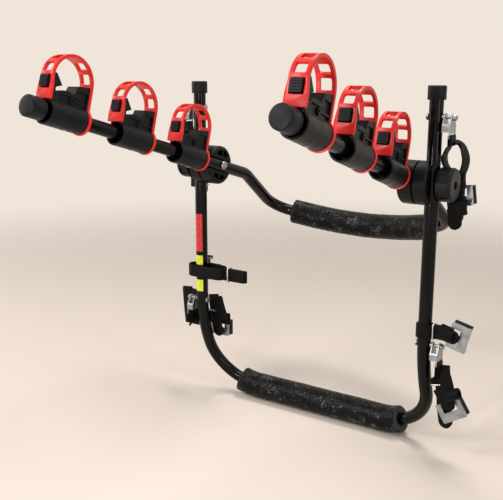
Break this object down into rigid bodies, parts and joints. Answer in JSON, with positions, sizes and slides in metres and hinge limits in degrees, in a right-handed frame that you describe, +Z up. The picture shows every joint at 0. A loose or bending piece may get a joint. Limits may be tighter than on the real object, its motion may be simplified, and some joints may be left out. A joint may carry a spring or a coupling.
{
  "type": "trunk mounted bike rack",
  "caption": "Trunk mounted bicycle carrier with two bent steel tube frames on toothed hubs, foam pads, cradles with rubber ladder straps, and webbing straps with plate hooks.",
  "frame": {"origin": "middle of the lower foam pad, on the axis of the lower frame's cross bar", "axes": "+Z up along the uprights, +Y towards the vehicle, +X across it, along both pads"},
  "size_m": [0.6866, 0.7843, 0.758],
  "materials": {
    "frame_paint": "gloss",
    "foam": "matte foam",
    "cap_rubber": "matte",
    "hub_plastic": "satin",
    "cradle_plastic": "satin",
    "strap_rubber": "satin",
    "webbing": "woven",
    "edge_rubber": "matte",
    "zinc": "zinc plated"
  },
  "bodies": {
    "lower": {"lower_frame": "frame_paint", "lower_pad": "foam", "upright_caps": "cap_rubber", "hub_outer_left": "hub_plastic", "hub_outer_right": "hub_plastic", "strap_bolts": "zinc", "strap_spacers": "zinc", "strap_nuts": "zinc", "webbing_side_left": "webbing", "hook_side_left": "zinc", "webbing_side_right": "webbing", "hook_side_right": "zinc", "hook_edges_side": "edge_rubber", "wire_loop_side": "zinc"},
    "arms": {"arm_frame": "frame_paint", "arm_caps": "cap_rubber", "upper_pad": "foam", "cradle_screws": "zinc", "hub_inner_left": "hub_plastic", "pivot_bolt_left": "zinc", "cradle_left_inner": "cradle_plastic", "ladder_strap_left_inner": "strap_rubber", "cradle_left_middle": "cradle_plastic", "ladder_strap_left_middle": "strap_rubber", "cradle_left_outer": "cradle_plastic", "ladder_strap_left_outer": "strap_rubber", "hub_inner_right": "hub_plastic", "pivot_bolt_right": "zinc", "cradle_right_inner": "cradle_plastic", "ladder_strap_right_inner": "strap_rubber", "cradle_right_middle": "cradle_plastic", "ladder_strap_right_middle": "strap_rubber", "cradle_right_outer": "cradle_plastic", "ladder_strap_right_outer": "strap_rubber"},
    "washer_left": {"knob_washer_left": "zinc"},
    "knob_left": {"knob_left": "hub_plastic", "knob_insert_left": "zinc"},
    "washer_right": {"knob_washer_right": "zinc"},
    "knob_right": {"knob_right": "hub_plastic", "knob_insert_right": "zinc"},
    "strap_upper_left": {"strap_link_upper_left": "zinc", "webbing_upper_left": "webbing", "hook_upper_left": "zinc", "hook_edges_upper_left": "edge_rubber", "wire_loop_upper_left": "zinc"},
    "strap_lower_left": {"strap_link_lower_left": "zinc", "webbing_lower_left": "webbing", "hook_lower_left": "zinc", "hook_edges_lower_left": "edge_rubber", "wire_loop_lower_left": "zinc"},
    "strap_upper_right": {"strap_link_upper_right": "zinc", "webbing_upper_right": "webbing", "hook_upper_right": "zinc", "hook_edges_upper_right": "edge_rubber", "wire_loop_upper_right": "zinc"},
    "strap_lower_right": {"strap_link_lower_right": "zinc", "webbing_lower_right": "webbing", "hook_lower_right": "zinc", "hook_edges_lower_right": "edge_rubber", "wire_loop_lower_right": "zinc"}
  },
  "joints": [
    {"name": "arm_fold", "type": "hinge", "parent": "lower", "child": "arms", "pos_m": [0, -0.0653, 0.5051], "axis": [1, 0, 0], "range_deg": [-52, 40]},
    {"name": "washer_left_slide", "type": "slide", "parent": "lower", "child": "washer_left", "axis": [-1, 0, 0], "range_m": [0, 0.0038]},
    {"name": "knob_left_turn", "type": "hinge", "parent": "washer_left", "child": "knob_left", "pos_m": [-0.2887, -0.0653, 0.5051], "axis": [-1, 0, 0], "range_deg": [0, 1080]},
    {"name": "washer_right_slide", "type": "slide", "parent": "lower", "child": "washer_right", "axis": [1, 0, 0], "range_m": [0, 0.0038]},
    {"name": "knob_right_turn", "type": "hinge", "parent": "washer_right", "child": "knob_right", "pos_m": [0.2887, -0.0653, 0.5051], "axis": [1, 0, 0], "range_deg": [0, 1080]},
    {"name": "strap_upper_left_swing", "type": "hinge", "parent": "lower", "child": "strap_upper_left", "pos_m": [-0.2845, -0.0653, 0.6233], "axis": [1, 0, 0], "range_deg": [0, 150]},
    {"name": "strap_lower_left_swing", "type": "hinge", "parent": "lower", "child": "strap_lower_left", "pos_m": [-0.2845, -0.0653, 0.2025], "axis": [1, 0, 0], "range_deg": [0, 45]},
    {"name": "strap_upper_right_swing", "type": "hinge", "parent": "lower", "child": "strap_upper_right", "pos_m": [0.2845, -0.0653, 0.6233], "axis": [1, 0, 0], "range_deg": [0, 150]},
    {"name": "strap_lower_right_swing", "type": "hinge", "parent": "lower", "child": "strap_lower_right", "pos_m": [0.2845, -0.0653, 0.2025], "axis": [1, 0, 0], "range_deg": [0, 90]}
  ],
  "couplings": [
    {"joint": "washer_left_slide", "follows": "knob_left_turn", "m_per_rad": 0.00019894},
    {"joint": "washer_right_slide", "follows": "knob_right_turn", "m_per_rad": 0.00019894}
  ]
}
